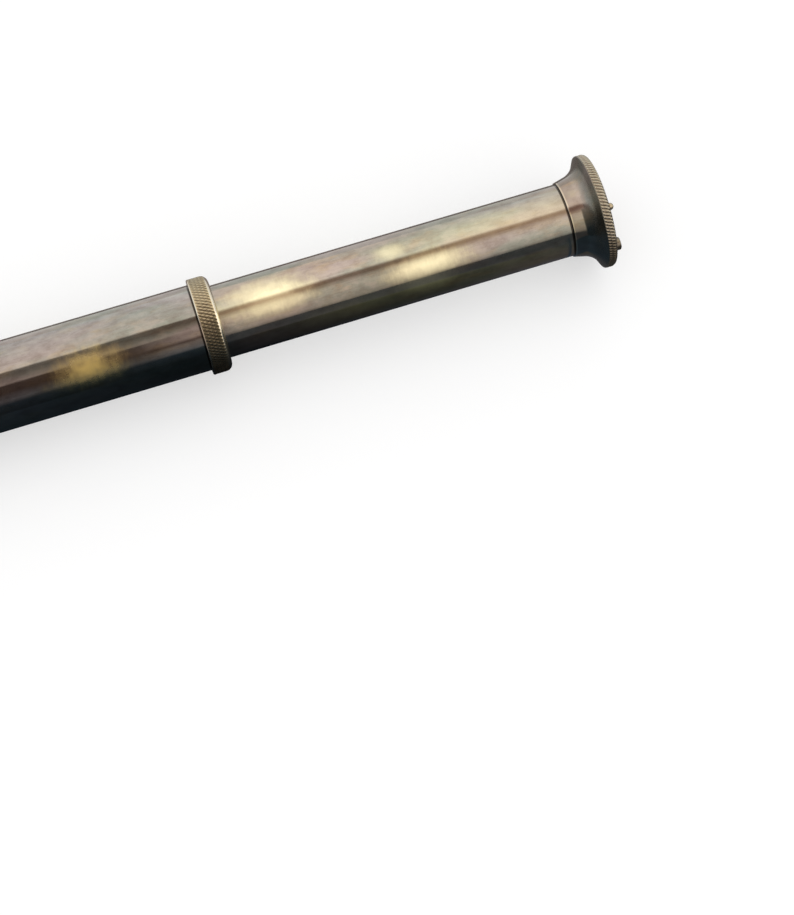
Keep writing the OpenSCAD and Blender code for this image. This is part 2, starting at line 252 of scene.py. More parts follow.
# %% [markdown]
# ## Patinated brass
#
# The tubes are brass that was darkened in a bath and rubbed back by hand. Three things show. The
# colour drifts slowly between a lilac grey, a green grey and a warm tan. Here and there the cloth has
# rubbed through to yellow metal, and each such spot has a soft amber edge. And the whole tube carries
# fine hairlines along its length. The metal stays smooth enough to mirror the room. An image texture
# could show this too, but noise in the object's own millimetres keeps its size on every tube. A stretch
# below 1 along X draws it out lengthwise.

# %% Rubbed spots: where they are and how large
RUBBED = [
    # centre on the surface, size along X and across, and how bare the metal is in the middle
    ((307.5, 0.8, 11.0), (8.6, 3.2, 3.2), 0.55),
    ((309.5, -1.8, 10.8), (8.6, 3.0, 3.0), 1.0),
    ((297.0, -2.2, 10.8), (6.0, 2.2, 2.2), 0.30),
    ((356.0, -5.0, 9.8), (8.4, 2.7, 2.7), 1.0),
    ((346.6, 1.7, 10.9), (3.4, 2.0, 2.0), 0.42),
    ((332.0, -9.6, 5.2), (11.0, 2.4, 2.4), 0.30),
    ((354.5, -8.8, 6.6), (7.0, 2.6, 2.6), 0.60),
    ((374.0, 1.6, 10.9), (20.0, 3.2, 3.2), 0.14),
    ((395.0, 1.8, 10.8), (8.0, 4.0, 4.0), 0.10),
    ((402.9, 2.8, 11.7), (1.3, 1.3, 1.3), 0.16),
    ((253.4, -6.6, 11.1), (8.2, 3.7, 3.7), 1.0),
    ((205.0, 9.0, 9.4), (9.0, 4.0, 4.0), 0.75),
    ((233.0, 8.0, -10.2), (11.0, 4.0, 4.0), 0.9),
    ((341.0, 9.4, -5.7), (11.0, 3.6, 3.6), 0.9),
    ((378.0, -6.0, -9.2), (9.0, 3.5, 3.5), 0.8),
    ((146.0, -8.0, 12.7), (11.0, 4.5, 4.5), 0.9),
    ((101.0, 6.5, 13.5), (9.0, 4.0, 4.0), 0.7),
    ((122.0, -3.0, -14.7), (10.0, 4.5, 4.5), 0.9),
    ((38.0, -7.0, 15.5), (12.0, 5.0, 5.0), 0.8),
    ((-22.0, 8.0, 15.0), (13.0, 5.5, 5.5), 0.6),
    ((12.0, -13.0, -11.0), (12.0, 5.0, 5.0), 0.7),
    ((-48.0, -12.5, 11.5), (10.0, 5.0, 5.0), 0.7),
    ((-78.0, 5.0, 8.0), (4.0, 6.0, 6.0), 0.6),
]
print(len(RUBBED), "rubbed spots")

# %% Colours of the patina, and the places along X where it is worn or darkened at joints
LILAC = (0.306, 0.262, 0.238)
GREEN_GREY = (0.246, 0.256, 0.214)
TAN = (0.350, 0.280, 0.190)
PALE_GREY = (0.410, 0.368, 0.318)
UMBER = (0.140, 0.100, 0.078)
AMBER = (0.40, 0.31, 0.16)
STRAW = (0.45, 0.42, 0.27)
PALE_YELLOW = (0.80, 0.77, 0.51)
DEEP_GOLD = (1.0, 0.79, 0.29)
WORN = (0.47, 0.41, 0.31)
# Painted shade for the bell's flare under the rim:
PAINTED_SHADE_UNDER_RIM = (0.075, 0.068, 0.054)
JOINT_DARK = (0.020, 0.014, 0.010)

neck_edge, bell_face = reach("draw_3_tube")[1], reach("eyepiece_bell")[1]
cap_end, cap_mouth = reach("objective_cap")
DARKENED_JOINTS = [reach("barrel_tube")[0] + 0.2, neck_edge - 0.3]
DARKENED_JOINTS += [reach(node)[1] - 0.2 for node in ("barrel_tube", "draw_1_tube", "draw_2_tube")]
WORN_EDGES = [cap_end + 0.37, cap_mouth - 0.15, neck_edge + 0.27]
print("dirty places", len(DARKENED_JOINTS), "and worn edges", len(WORN_EDGES))


# %% Clouds of colour, streaks and mottle
def drifting_colours(finish, streaks, specks):
    """The patina before it was rubbed."""
    clouds = finish.noise((0.22, 1.0, 1.0), 0.11, detail=2.0)
    drift = finish.noise((0.30, 1.0, 1.0), 0.34, detail=5.0, roughness=0.6, offset=(31.0, 7.0, 3.0))
    mottle = finish.noise((0.6, 1.0, 1.0), 0.36, detail=5.0, roughness=0.60, offset=(17.0, 6.0, 2.0))
    colour = finish.mix(finish.smooth(clouds, 0.38, 0.62), LILAC, GREEN_GREY)
    colour = finish.mix(finish.smooth(drift, 0.46, 0.76, 0.0, 0.70), colour, TAN)
    colour = finish.mix(finish.smooth(streaks, 0.50, 0.80, 0.0, 0.38), colour, UMBER)
    colour = finish.mix(finish.smooth(specks, 0.54, 0.78, 0.0, 0.26), colour, UMBER)
    colour = finish.mix(finish.smooth(mottle, 0.46, 0.66, 0.0, 0.36), colour, PALE_GREY)
    return finish.mix(finish.smooth(mottle, 0.34, 0.50, 0.26, 0.0), colour, UMBER)


# %% Masks of the rubbed spots
def strongest(operation, signals):
    """The MAXIMUM or MINIMUM of several signals."""
    first, *others = signals
    for other in others:
        first = first.maths(operation, other)
    return first


def rubbed_bare(finish, cloth):
    """Masks of the bare metal and of the softer edge round it; noise makes both ragged."""
    wobble = finish.noise((0.55, 1.0, 1.0), 0.34, detail=4.0, offset=(2.0, 11.0, 4.0)) - 0.5
    torn = finish.noise((1.0, 1.0, 1.0), 0.40, detail=1.5, offset=(12.0, 3.0, 7.0)) - 0.5
    ragged = wobble * 0.65 + (cloth - 0.5) * 0.35 + torn * 0.75
    away = [(finish.near(centre, size) + ragged, amount) for centre, size, amount in RUBBED]

    def spread(inner, outer):
        return strongest("MAXIMUM", [finish.smooth(d, inner, outer, amount, 0.0) for d, amount in away])

    return spread(0.0, 1.85), spread(0.7, 2.4)


def close_to(place, places):
    """Distance along X to the nearest of some places."""
    return strongest("MINIMUM", [(place - x).maths("ABSOLUTE") for x in places])


# %% Build the patinated brass
def patinated_brass(name, turned=0.0):
    """Darkened brass with rubbed spots and a satin shine; turned cuts rings that deep into a face."""
    finish = Finish(name)
    place = finish.along()
    streaks = finish.noise((0.05, 1.0, 1.0), 1.5, detail=5.0, roughness=0.65)
    specks = finish.noise((0.35, 1.0, 1.0), 2.2, detail=3.0, offset=(3.0, 14.0, 5.0))
    cloth = finish.noise((2.0, 0.35, 0.35), 0.9, detail=3.0, offset=(8.0, 1.0, 6.0))
    bare, halo = rubbed_bare(finish, cloth)
    slim = finish.smooth(place, 280.0, 300.0)  # the thinnest draw is rubbed paler
    colour = drifting_colours(finish, streaks, specks)
    colour = finish.mix(halo * (slim * 0.3 + 0.45), colour, finish.mix(slim, AMBER, STRAW))
    colour = finish.mix(bare, colour, finish.mix(slim, DEEP_GOLD, PALE_YELLOW))

    # Painted shade: the flare of the bell is darkened towards the rim.
    flare = (finish.smooth(place, neck_edge + 3.15, neck_edge + 6.75, 0.0, 0.62)
             * finish.smooth(place, bell_face - 2.05, bell_face - 1.55, 1.0, 0.0))
    neck = (finish.smooth(place, neck_edge + 0.15, neck_edge + 0.55, 0.0, 0.33)
            * finish.smooth(place, neck_edge + 2.95, neck_edge + 4.55, 1.0, 0.0))
    colour = finish.mix(flare, colour, PAINTED_SHADE_UNDER_RIM)
    colour = finish.mix(neck, colour, UMBER)
    colour = finish.mix(finish.smooth(close_to(place, WORN_EDGES), 0.08, 0.26, 0.8, 0.0), colour, WORN)
    # Darker along the joints with the rings, the cell and the neck.
    colour = finish.mix(finish.smooth(close_to(place, DARKENED_JOINTS), 0.15, 0.42, 0.9, 0.0), colour, JOINT_DARK)

    shine = (bare * (0.36 - slim * 0.25) + flare * 0.30 + (streaks - 0.5) * 0.10
             + (specks - 0.5) * 0.06 + 0.095)
    hairs = finish.noise((0.02, 1.0, 1.0), 7.0, detail=2.0, offset=(5.0, 2.0, 9.0))
    waves = finish.bump(finish.noise((0.25, 1.0, 1.0), 0.22, detail=1.0, offset=(6.0, 4.0, 2.0)), 0.030)
    lines = finish.bump(hairs + bare * cloth * 0.8, 0.0020, waves)
    if turned:
        y, z = finish.along("Y"), finish.along("Z")
        radius = (y * y + z * z).maths("SQRT")
        rings = finish.node("ShaderNodeTexNoise", {"noise_dimensions": "1D"},
                            {"W": radius, "Scale": 3.2, "Detail": 3.0})
        lines = finish.bump(rings, turned, lines)
        colour = finish.mix(finish.smooth(rings, 0.40, 0.62, 0.0, 0.45), colour, PALE_GREY)
        colour = finish.mix(finish.smooth(radius, 8.0, 15.5, 0.0, 0.55), colour, UMBER)
        shine = shine + 0.12
    return finish.surface(Base_Color=colour, Metallic=1.0, Roughness=shine, Normal=lines)


patina = patinated_brass("patinated_brass")
turned_patina = patinated_brass("patinated_brass_turned", turned=0.006)
print("patina nodes", len(patina.node_tree.nodes))

# %% [markdown]
# ## Knurled brass
#
# Knurling is rolled into the metal: two sets of slanting grooves cross and leave rows of small
# diamonds. Dirt and patina stay in the grooves, while fingers polish the points. The mesh carries the
# real grooves, and it also stores how high each point stands in an attribute called `height`, so the
# finish can follow the shape exactly: dark at 0 and bright at 1. The turned edges beside a knurl store
# 2. The side at -Y is darkened as painted shade.

# %% Build the knurled brass
GROOVE_DARK = (0.085, 0.066, 0.042)
KHAKI = (0.285, 0.233, 0.146)
GREY_KHAKI = (0.275, 0.248, 0.194)
POINT_BRIGHT = (0.44, 0.370, 0.240)
GREY_POINT = (0.37, 0.335, 0.260)
TURNED_EDGE = (0.58, 0.52, 0.41)


def knurled_brass(name, khaki, point):
    """Dark in the grooves, khaki on the slopes, a point colour on top and plain turned edges."""
    finish = Finish(name)
    height = finish.node("ShaderNodeAttribute", {"attribute_name": "height"}, output=2)
    dirt = finish.noise((1.0, 1.0, 1.0), 0.35, detail=3.0)
    grain = finish.noise((1.0, 1.0, 1.0), 3.0, detail=2.0, offset=(4.0, 1.0, 8.0))
    colour = finish.mix(finish.smooth(height + (dirt - 0.5) * 0.5, 0.10, 0.55), GROOVE_DARK, khaki)
    colour = finish.mix(finish.smooth(height + (grain - 0.5) * 0.3, 0.70, 1.0, 0.0, 0.8), colour, point)
    polished = finish.smooth(height, 1.2, 1.8)
    colour = finish.mix(polished, colour, TURNED_EDGE)
    # Painted shade: the -Y side of every knurled piece is darkened towards the groove colour.
    painted_side_shade = finish.smooth(finish.along("Y") + (dirt - 0.5) * 3.0, -14.8, -12.2, 0.62, 0.0)
    colour = finish.mix(painted_side_shade, colour, GROOVE_DARK)
    rough = finish.smooth(height, 0.2, 1.0, 0.42, 0.20)
    return finish.surface(Base_Color=colour, Metallic=1.0, Roughness=rough, Normal=finish.bump(grain, 0.004))


knurl_finish = knurled_brass("knurled_brass", KHAKI, POINT_BRIGHT)
rim_finish = knurled_brass("knurled_brass_rim", GREY_KHAKI, GREY_POINT)
print("knurl nodes", len(knurl_finish.node_tree.nodes))

# %% [markdown]
# ## Bright, blackened and clear
#
# Three plainer finishes cover the small pieces. The knob, the screw and the sliding rings are bright
# brass with fine turning marks, and the screw is darker than the others. The cells and tubes that hold
# the lenses are blackened, so that they throw no stray light. The lenses are clear glass, a little dusty.

# %% Bright brass
def bright_brass(name, clean, tarnished):
    """Turned brass that runs between a clean and a tarnished colour."""
    finish = Finish(name)
    marks = finish.noise((1.0, 1.0, 1.0), 1.4, detail=3.0)
    tarnish = finish.noise((1.0, 1.0, 1.0), 0.5, detail=4.0, offset=(9.0, 3.0, 1.0))
    colour = finish.mix(finish.smooth(tarnish, 0.36, 0.70, 0.0, 0.8), clean, tarnished)
    rough = finish.smooth(marks, 0.3, 0.7, 0.20, 0.34)
    return finish.surface(Base_Color=colour, Metallic=1.0, Roughness=rough, Normal=finish.bump(marks, 0.003))


bright = bright_brass("bright_brass", (0.42, 0.36, 0.25), (0.21, 0.165, 0.105))
screw_finish = bright_brass("dark_screw_brass", (0.16, 0.14, 0.105), (0.075, 0.062, 0.045))
print("bright brass nodes", len(bright.node_tree.nodes))


# %% Blackened brass
def blackened_brass(name):
    """A black finish that is worn back to brass in places."""
    finish = Finish(name)
    worn = finish.noise((1.0, 1.0, 1.0), 0.8, detail=4.0)
    colour = finish.mix(finish.smooth(worn, 0.55, 0.80, 0.0, 0.5), (0.022, 0.020, 0.018), (0.12, 0.085, 0.045))
    rough = finish.smooth(worn, 0.4, 0.8, 0.55, 0.38)
    return finish.surface(Base_Color=colour, Metallic=0.6, Roughness=rough, Normal=finish.bump(worn, 0.004))


blackened = blackened_brass("blackened_brass")
print("blackened brass nodes", len(blackened.node_tree.nodes))


# %% Glass
def clear_glass(name):
    """Clear glass that dust makes a little rough."""
    finish = Finish(name)
    dust = finish.noise((1.0, 1.0, 1.0), 1.2, detail=4.0)
    rough = finish.smooth(dust, 0.5, 0.85, 0.0, 0.06)
    return finish.surface(Base_Color=(0.97, 0.99, 0.98), Roughness=rough, IOR=1.52, Transmission_Weight=1.0)


glass = clear_glass("lens_glass")
FINISH_OF_SLOT = {"patina_brass": patina, "knurled_brass": knurl_finish, "bright_brass": bright,
                  "blackened_brass": blackened, "lens_glass": glass}
print("finishes", sorted(FINISH_OF_SLOT))

# %% [markdown]
# ## Spinning an outline
#
# Every large piece is a solid of revolution. The outline is a list of places along X with a radius, and
# `spin` turns it round the axis: a ring of points for each place, and faces between neighbouring rings.
# An outline that starts and ends on the axis gives a closed body, and one that runs round a wall and
# meets itself gives a tube with a bore. The rings are fine, because polished metal shows each facet as
# a kink in a reflection.

# %% Outline helpers
def arc(centre, radius, start, end, steps=10):
    """Points of an arc in the outline's plane, with angles in degrees from the X axis."""
    angles = np.radians(np.linspace(start, end, steps + 1))
    return [(centre[0] + radius * math.cos(a), centre[1] + radius * math.sin(a)) for a in angles]


def steps_between(start, end, count):
    """Points on a straight line, without its two ends."""
    return [tuple(np.array(start) + (np.array(end) - np.array(start)) * k / count) for k in range(1, count)]


# %% Spin
ROUND = 288
SHARP = math.radians(34)


def spin(name, outline, segments=ROUND, relief=None):
    """Turns an outline round X; relief gives a depth below the outline and a height for the finish."""
    points = np.array(outline, float)
    turn = np.arange(segments) * 2 * math.pi / segments
    place = np.repeat(points[:, :1], segments, axis=1)
    radius = np.repeat(points[:, 1:], segments, axis=1)
    height = np.ones_like(radius)
    if relief is not None:
        depth, height = relief(place, turn[None, :], radius)
        step = np.roll(points, -1, axis=0) - np.roll(points, 1, axis=0)
        step /= np.linalg.norm(step, axis=1, keepdims=True)
        place, radius = place + depth * step[:, 1:], radius - depth * step[:, :1]
    grid = np.stack([place, radius * np.cos(turn), radius * np.sin(turn)], axis=-1) * MM
    rows, closed = len(points), points[0, 1] > 0
    faces = []
    for i in range(rows if closed else rows - 1):
        a, b = i * segments, ((i + 1) % rows) * segments
        faces += [(a + k, a + (k + 1) % segments, b + (k + 1) % segments, b + k) for k in range(segments)]
    print(name, "has", rows, "rings of", segments, "points")
    mesh = bpy.data.meshes.new(name)
    mesh.from_pydata(grid.reshape(-1, 3).tolist(), [], faces)
    stored = mesh.attributes.new("height", "FLOAT", "POINT")
    stored.data.foreach_set("value", height.astype(np.float32).ravel())
    return finish_mesh(name, mesh)


def finish_mesh(name, mesh):
    """Welds the points on the axis, turns the faces outwards and shades the mesh smooth."""
    work = bmesh.new()
    work.from_mesh(mesh)
    bmesh.ops.remove_doubles(work, verts=work.verts, dist=1e-8)
    bmesh.ops.recalc_face_normals(work, faces=work.faces)
    work.to_mesh(mesh)
    work.free()
    mesh.shade_smooth()
    mesh.set_sharp_from_angle(angle=SHARP)
    piece = bpy.data.objects.new(name, mesh)
    bpy.context.scene.collection.objects.link(piece)
    return piece


# %% [markdown]
# ## Fitting a piece
#
# A new piece is only half done when it has its shape. `fit` gives it a finish, hides the node of the
# solid model that it stands for, and ties it to the body that moves it.

# %% Fit a piece to the model
BODY_OF_NODE = {node: body for body, nodes in frame["record"]["behaviour"]["bodies"].items()
                for node in nodes}


def fit(piece, slot, *nodes, finishes=None):
    """Gives piece its finish, hides the nodes it stands for, and makes it ride on their body."""
    for finish in finishes or [FINISH_OF_SLOT[slot]]:
        piece.data.materials.append(finish)
    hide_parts(*nodes)
    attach(piece, BODY_OF_NODE[nodes[0]])
    return piece


# %% [markdown]
# ## The tubes
#
# The barrel and the three draws are plain thin tubes. Their ends aren't razor sharp: a turner breaks
# each edge with a tiny bevel, and that bevel catches a line of light. The outline runs along the
# outside, round the end and back through the bore.

# %% Spin the four tubes
WALL = 0.8
EDGE_BREAK = 0.12


def tube(name, node):
    """A thin tube in the place of a node, with both ends bevelled."""
    near, far = reach(node)
    outer = outside(node)
    inner = outer - WALL
    return fit(spin(name, [
        (near, inner + EDGE_BREAK), (near, outer - EDGE_BREAK), (near + EDGE_BREAK, outer),
        (far - EDGE_BREAK, outer), (far, outer - EDGE_BREAK), (far, inner + EDGE_BREAK),
        (far - EDGE_BREAK, inner), (near + EDGE_BREAK, inner)]), "patina_brass", node)


for name, node in (("barrel", "barrel_tube"), ("wide_draw", "draw_1_tube"),
                   ("middle_draw", "draw_2_tube"), ("slim_draw", "draw_3_tube")):
    tube(name, node)

# %% [markdown]
# ## Knurling as relief
#
# One set of grooves is a zigzag of the turn plus the place along X, and the other of the turn minus
# the place. Where either zigzag is at its lowest there is a groove, so the height of the surface is
# the smaller of the two. A worn knurl has flat points, which is the clamp at `FLAT_FROM`. The number
# of diamonds round a ring has to be whole, or the pattern wouldn't close.

# %% The relief of a knurled band
KNURL_ROUND = 1.085
KNURL_ALONG = 2.2
FLAT_FROM = 0.72
STEPS_PER_DIAMOND = 8
WEAK_SET = 0.22
PLAIN = 2.0


def diamonds_round(radius):
    """The whole number of diamonds that goes round a radius."""
    return round(2 * math.pi * radius / KNURL_ROUND)


def knurl(count, near, far, depth, fade=0.12, along=KNURL_ALONG, weak_set=WEAK_SET):
    """Relief of a knurl between two places along X; it fades in at both ends."""
    def relief(place, turn, radius):
        a, b = count * turn / (2 * math.pi), (place - near) / along
        strong, weak = (2 * np.abs((u + 0.5) % 1 - 0.5) for u in (a - b, a + b))
        height = np.minimum(np.minimum(strong, weak_set + (1 - weak_set) * weak), FLAT_FROM) / FLAT_FROM
        inside = np.clip(np.minimum(place - near, far - place) / fade + 1, 0, 1)
        height = 1 - (1 - height) * inside
        return depth * (1 - height), np.where(inside > 0, height, PLAIN)
    return relief


def masked(relief, place, turn, radius, floor):
    """Keeps a relief to the points that lie at least as far out as floor."""
    depth, height = relief(place, turn, radius)
    keep = radius >= floor
    return np.where(keep, depth, 0.0), np.where(keep, height, PLAIN)


for node in ("barrel_collar", "draw_1_collar", "draw_2_collar"):
    print(node, diamonds_round(outside(node)), "diamonds")

# %% [markdown]
# ## The knurled rings
#
# Each tube ends in a ring with a short sleeve inside the tube. The ring's objective side keeps a thin
# bright edge, its eye side a wider polished roll, and the knurl lies between the two.

# %% Spin the three rings
RING_WIDTH = 6.19
NEAR_ROLL, FAR_ROLL = 0.4, 2.2
KNURL_DEPTH, KNURL_STARTS, KNURL_RUNS_ON = 0.16, 0.1, 1.18
SLEEVE_BORE, SLEEVE_PLAY = 0.57, 0.02
RING_BORE, BORE_BREAK = 0.05, 0.15


def ring(name, node, draw, tube_node):
    """A collar: node is the ring, draw the tube inside it and tube_node the tube it closes."""
    near, far = reach(node)
    face, outer, bore = far - RING_WIDTH, outside(node), outside(draw) + RING_BORE
    sleeve_out, sleeve_in = outside(tube_node) - WALL - SLEEVE_PLAY, outside(draw) + SLEEVE_BORE
    first, last = face + NEAR_ROLL, far - FAR_ROLL
    rows = round((last - first) / (KNURL_ALONG / STEPS_PER_DIAMOND))
    outline = ([(near, sleeve_in), (near, sleeve_out), (face, sleeve_out), (face, outer - NEAR_ROLL)]
               + arc((first, outer - NEAR_ROLL), NEAR_ROLL, 172, 90, 6)
               + steps_between((first, outer), (last, outer), rows)
               + arc((last, outer - FAR_ROLL), FAR_ROLL, 90, 0, 16)
               + [(far, bore + BORE_BREAK), (far - BORE_BREAK, bore), (face, bore), (face, sleeve_in)])
    count = diamonds_round(outer)
    relief = knurl(count, first + KNURL_STARTS, last + KNURL_RUNS_ON, KNURL_DEPTH)
    piece = spin(name, outline, count * STEPS_PER_DIAMOND,
                 lambda place, turn, radius: masked(relief, place, turn, radius, outer - 0.35))
    return fit(piece, "knurled_brass", node)


ring("barrel_ring", "barrel_collar", "draw_1_tube", "barrel_tube")
ring("wide_draw_ring", "draw_1_collar", "draw_2_tube", "draw_1_tube")
ring("middle_draw_ring", "draw_2_collar", "draw_3_tube", "draw_2_tube")

# %% [markdown]
# ## The eyepiece bell
#
# The bell starts as a neck a little wider than the draw, sweeps outwards and ends in a thick knurled
# rim. The neck's edge stands proud of the draw, with a fine groove between them, and the draw is darker next
# to it.
# The same outline turns back over the rim into a seat for the eye plate. Only the rim is knurled, and
# the knurl runs on over the rounded corner, so the rim looks serrated from the side.

# %% The bell's outline
RIM = outside("eyepiece_bell")
NECK, NECK_LONG, NECK_SLOPE, NECK_BREAK = 11.4, 3.2, 13, 0.22
FLARE_ROUND, FLARE_SLOPE = 6.2, 65
SHOULDER_ROUND, RIM_WIDE, RIM_ROUND = 1.1, 2.5, 1.2
BELL_BORE, BORE_FLARES = 9.08, 4.0
PLATE_SEAT, PLATE_DEEP, LEDGE, LEDGE_DEEP = 15.27, 1.5, 13.95, 2.8

bell_near = reach("eyepiece_bell")[0]
spigot_out = outside("draw_3_tube") - WALL - SLEEVE_PLAY
neck_end = (neck_edge + NECK_LONG, NECK + NECK_LONG * math.tan(math.radians(NECK_SLOPE)))
curve = (neck_end[0] - FLARE_ROUND * math.sin(math.radians(NECK_SLOPE)),
         neck_end[1] + FLARE_ROUND * math.cos(math.radians(NECK_SLOPE)))
shoulder = (bell_face - RIM_WIDE, RIM - SHOULDER_ROUND)
corner = (bell_face - RIM_ROUND, RIM - RIM_ROUND)
bell_outline = (
    [(bell_near, BELL_BORE), (bell_near, spigot_out), (neck_edge + 0.02, spigot_out),
     (neck_edge + 0.02, NECK - NECK_BREAK - 0.1)]
    + arc((neck_edge + NECK_BREAK, NECK - NECK_BREAK), NECK_BREAK, 170, 95, 4)
    + arc(curve, FLARE_ROUND, NECK_SLOPE - 90, FLARE_SLOPE - 90, 22)
    + arc(shoulder, SHOULDER_ROUND, FLARE_SLOPE + 50, 90, 8)
    + steps_between((shoulder[0], RIM), (corner[0], RIM), 6)
    + arc(corner, RIM_ROUND, 90, 0, 14)
    + [(bell_face, PLATE_SEAT + BORE_BREAK), (bell_face - BORE_BREAK, PLATE_SEAT),
       (bell_face - PLATE_DEEP, PLATE_SEAT), (bell_face - PLATE_DEEP, LEDGE),
       (bell_face - LEDGE_DEEP, LEDGE), (neck_edge + BORE_FLARES, BELL_BORE)])
print("the bell's outline has", len(bell_outline), "points")

# %% Spin the eyepiece bell
RIM_DIAMONDS, RIM_KNURL_DEPTH, RIM_KNURL_ALONG, RIM_WEAK_SET = 104, 0.25, 2.6, 0.34


def rim_relief(place, turn, radius):
    """Knurl on the rim, measured along the outline so that it runs on over the corner."""
    past = np.arctan2(place - corner[0], radius - corner[1])
    along = np.where(place > corner[0], corner[0] + RIM_ROUND * past, place)
    grooves = knurl(RIM_DIAMONDS, shoulder[0] - 0.1, corner[0] + RIM_ROUND * 1.35, RIM_KNURL_DEPTH,
                    0.3, RIM_KNURL_ALONG, RIM_WEAK_SET)
    return masked(grooves, along, turn, radius, RIM - RIM_ROUND)


bell = spin("eyepiece_bell_turned", bell_outline, RIM_DIAMONDS * STEPS_PER_DIAMOND, rim_relief)
fit(bell, "patina_brass", "eyepiece_bell", finishes=[patina, rim_finish])
for face in bell.data.polygons:
    middle = face.center / MM
    on_rim = middle.x > shoulder[0] - 0.15 and math.hypot(middle.y, middle.z) > RIM - RIM_ROUND
    face.material_index = int(on_rim)

# %% [markdown]
# ## The eye shutter
#
# A flat brass disc swings over the eye hole to keep dust out. It is stamped from sheet: a disc, an
# arm and a round eye for the pivot screw, with softened edges. A turned knob riveted in its middle
# gives a fingertip something to push, and a slotted screw at the end of the arm lets it turn.

# %% Cut the shutter plate
swing = frame["record"]["behaviour"]["joints"][-1]
_, PIVOT_Y, PIVOT_Z = (v / MM for v in swing["pos_m"])
PIVOT_REACH = math.hypot(PIVOT_Y, PIVOT_Z)
DISC, PIVOT_EYE = 5.5, 2.6
SOFT_EDGE = 0.16


def tear_outline(shrink, steps=48):
    """Round disc and round pivot eye joined by their common tangents, seen from the eye side."""
    lean = math.asin((DISC - PIVOT_EYE) / PIVOT_REACH)
    toward = math.atan2(PIVOT_Z, PIVOT_Y)
    wide = np.linspace(math.pi / 2 - lean, 1.5 * math.pi + lean, steps * 2)
    tight = np.linspace(-math.pi / 2 + lean, math.pi / 2 - lean, steps)
    points = [((DISC - shrink) * math.cos(a), (DISC - shrink) * math.sin(a)) for a in wide]
    points += [(PIVOT_REACH + (PIVOT_EYE - shrink) * math.cos(a), (PIVOT_EYE - shrink) * math.sin(a))
               for a in tight]
    c, d = math.cos(toward), math.sin(toward)
    return [(y * c - z * d, y * d + z * c) for y, z in points]


def stamped(name, near, far, outline_at, edge):
    """A flat plate with softened edges from an outline that can be shrunk."""
    layers = [(near, edge), (near + edge * 0.35, edge * 0.35), (near + edge, 0.0), (far - edge, 0.0),
              (far - edge * 0.35, edge * 0.35), (far, edge)]
    rings = [[(x, *point) for point in outline_at(shrink)] for x, shrink in layers]
    count = len(rings[0])
    faces = [tuple(range(count)), tuple(range((len(rings) - 1) * count, len(rings) * count))]
    faces += [(i * count + k, i * count + (k + 1) % count, (i + 1) * count + (k + 1) % count,
               (i + 1) * count + k) for i in range(len(rings) - 1) for k in range(count)]
    mesh = bpy.data.meshes.new(name)
    mesh.from_pydata([Vector(point) * MM for points in rings for point in points], [], faces)
    return finish_mesh(name, mesh)


plate_near, plate_far = reach("eye_shutter")
fit(stamped("shutter_plate", plate_near, plate_far, tear_outline, SOFT_EDGE), "patina_brass", "eye_shutter")
print("shutter plate", round(plate_far - plate_near, 2), "mm thick, pivot at", round(PIVOT_REACH, 2), "mm")

# %% [markdown]
# ## The knob and the screw
#
# Both are small turned pieces, so `spin` makes them too, from outlines that start and end on the axis.
# The knob has a foot, a waist and a ball. Its outline is one line with two arcs.

# %% Turn the knob
knob_top = reach("shutter_knob")[1]
KNOB_STEM, KNOB_FOOT, KNOB_WAIST, KNOB_BALL, FOOT_ROUND = 0.6, 1.3, 0.62, 1.12, 0.22
fit(spin("shutter_knob_turned",
         [(plate_near, 0.0), (plate_near, KNOB_STEM), (plate_far, KNOB_STEM), (plate_far, KNOB_FOOT - 0.15)]
         + arc((plate_far + FOOT_ROUND, KNOB_FOOT - FOOT_ROUND), FOOT_ROUND, 250, 90, 8)
         + [(plate_far + 0.5, KNOB_FOOT - 0.2), (plate_far + 0.72, KNOB_WAIST + 0.1),
            (plate_far + 0.95, KNOB_WAIST)]
         + arc((knob_top - KNOB_BALL, 0.0), KNOB_BALL, 142, 3, 18) + [(knob_top, 0.0)], 72),
    "bright_brass", "shutter_knob")

# %% Turn the pivot screw
head_near, head_far = plate_far + 0.05, reach("shutter_pivot_screw")[1]
HEAD, HEAD_ROUND, SHANK = 1.95, 0.55, 1.0
shank_end = bell_face - PLATE_DEEP - 0.05
screw = spin("shutter_screw_turned",
             [(shank_end, 0.0), (shank_end, SHANK), (head_near, SHANK), (head_near, HEAD - 0.1),
              (head_near + 0.1, HEAD), (head_far - HEAD_ROUND - 0.3, HEAD)]
             + arc((head_far - HEAD_ROUND - 0.12, HEAD - HEAD_ROUND), HEAD_ROUND, 90, 22, 8)
             + [(head_far, 0.7), (head_far, 0.0)], 64)

# %% [markdown]
# The slot is cut with a Boolean, the way a slitting saw cuts the real one. The screw is still centred
# on X while it is sawn, and only then moved to the pivot.

# %% Saw the slot
def saw(piece, centre, size):
    """Takes a straight slot out of piece with a block, centre and size in millimetres."""
    work = bmesh.new()
    bmesh.ops.create_cube(work, size=1.0)
    blade = bpy.data.objects.new("blade", bpy.data.meshes.new("blade"))
    for corner_point in work.verts:
        corner_point.co = (Vector(size) * corner_point.co + Vector(centre)) * MM
    work.to_mesh(blade.data)
    work.free()
    bpy.context.scene.collection.objects.link(blade)
    cut = piece.modifiers.new("slot", "BOOLEAN")
    cut.operation, cut.object, cut.solver = "DIFFERENCE", blade, "EXACT"
    sawn = bpy.data.meshes.new_from_object(piece.evaluated_get(bpy.context.evaluated_depsgraph_get()))
    piece.modifiers.clear()
    piece.data = sawn
    bpy.data.objects.remove(blade)
    sawn.shade_smooth()
    sawn.set_sharp_from_angle(angle=SHARP)


